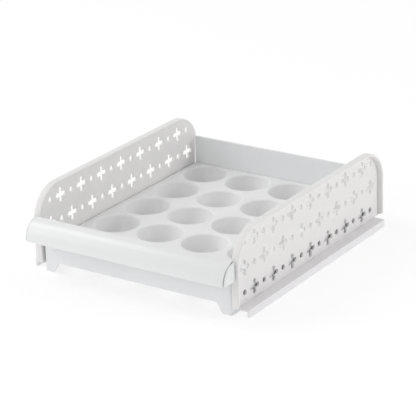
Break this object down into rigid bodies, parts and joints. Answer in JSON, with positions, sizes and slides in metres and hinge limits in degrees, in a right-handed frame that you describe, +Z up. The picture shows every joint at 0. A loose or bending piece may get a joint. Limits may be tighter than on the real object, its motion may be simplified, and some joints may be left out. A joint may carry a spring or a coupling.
{
  "type": "egg storage drawer",
  "caption": "Low open drawer that slides out of a perforated stacking frame and holds eggs upright in a lift-out tray of round cups.",
  "frame": {"origin": "middle of the bounding box at the height of the shelf that the frame stands on", "axes": "+Z up, -Y towards the front handle, the way the drawer pulls out, and X across the width"},
  "size_m": [0.2342, 0.2754, 0.0783],
  "materials": {
    "frame_white": "satin white moulded plastic",
    "panel_white": "satin white moulded plastic",
    "drawer_white": "satin white moulded plastic",
    "tray_white": "satin white moulded plastic",
    "handle_white": "smooth white moulded plastic"
  },
  "bodies": {
    "frame": {"base_frame": "frame_white", "right_side_panel": "panel_white", "left_side_panel": "panel_white"},
    "drawer": {"drawer_box": "drawer_white", "front_handle": "handle_white", "right_handle_cap": "handle_white", "left_handle_cap": "handle_white"},
    "tray": {"egg_tray": "tray_white"}
  },
  "joints": [
    {"name": "drawer_slide", "type": "slide", "parent": "frame", "child": "drawer", "axis": [0, -1, 0], "range_m": [0, 0.175]},
    {"name": "tray_lift", "type": "slide", "parent": "drawer", "child": "tray", "axis": [0, 0, 1], "range_m": [0, 0.08]}
  ]
}
